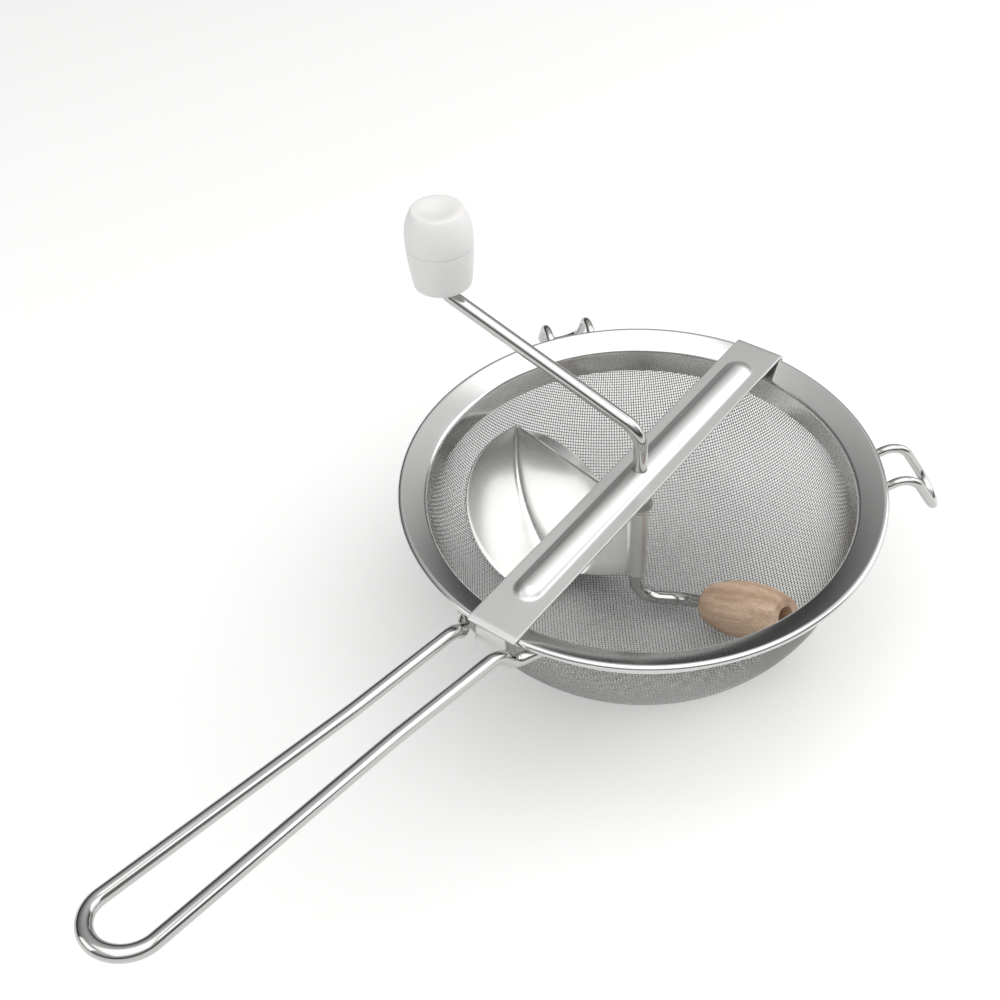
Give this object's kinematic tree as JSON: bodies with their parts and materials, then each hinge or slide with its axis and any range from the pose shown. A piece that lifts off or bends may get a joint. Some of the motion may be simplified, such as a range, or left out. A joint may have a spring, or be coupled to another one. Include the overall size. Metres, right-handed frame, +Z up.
{
  "type": "rotary hand strainer",
  "caption": "Round wire-mesh strainer with a loop handle, pot hooks and a hand crank that turns a blade and a wooden roller against the mesh.",
  "frame": {"origin": "on the crank axis, level with the middle of the rim's rolled bead, where the strainer rests on a pot", "axes": "+Z up along the crank axis, +X away from the handle along the bridge, +Y to the knob's side at rest"},
  "size_m": [0.3816, 0.2033, 0.1857],
  "materials": {
    "rim_steel": "polished stamped stainless steel",
    "mesh_steel": "woven stainless wire",
    "wire_steel": "bright drawn stainless wire",
    "bridge_steel": "satin stamped stainless steel",
    "blade_steel": "mirror polished stainless sheet",
    "spring_steel": "drawn spring wire",
    "knob_plastic": "white satin moulded plastic",
    "beech": "turned beech, bare and washed"
  },
  "bodies": {
    "sieve": {"rim_band": "rim_steel", "rim_wire": "wire_steel", "mesh_bowl": "mesh_steel", "mesh_ring": "rim_steel", "handle_wire": "wire_steel", "hook_left": "wire_steel", "hook_right": "wire_steel"},
    "bridge": {"bridge_strip": "bridge_steel", "spring": "spring_steel"},
    "lift_washer": {"thrust_washer": "rim_steel"},
    "crank": {"crank_rod": "wire_steel", "stop_clip": "spring_steel", "paddle": "blade_steel", "paddle_sleeve": "rim_steel", "roller_inner_washer": "rim_steel", "roller_push_nut": "spring_steel", "knob_push_nut": "spring_steel"},
    "roller": {"roller": "beech"},
    "knob": {"knob_body": "knob_plastic", "knob_cap": "knob_plastic"}
  },
  "joints": [
    {"name": "bridge_unhook", "type": "hinge", "parent": "sieve", "child": "bridge", "pos_m": [0.0984, 0, 0], "axis": [0, 1, 0], "range_deg": [0, 75]},
    {"name": "stirrer_lift", "type": "slide", "parent": "bridge", "child": "lift_washer", "axis": [0, 0, 1], "range_m": [0, 0.007], "stiffness_N_per_m": 800, "springref_m": -0.006, "deforming": ["spring"]},
    {"name": "crank_spin", "type": "hinge", "parent": "lift_washer", "child": "crank", "pos_m": [0, 0, 0], "axis": [0, 0, 1], "continuous": true},
    {"name": "roller_spin", "type": "hinge", "parent": "crank", "child": "roller", "pos_m": [0.00638, -0.05199, -0.05475], "axis": [-0.1215, -0.8649, 0.4871], "continuous": true},
    {"name": "knob_spin", "type": "hinge", "parent": "crank", "child": "knob", "pos_m": [-0.01085, 0.08834, 0.087], "axis": [0, 0, 1], "continuous": true}
  ]
}
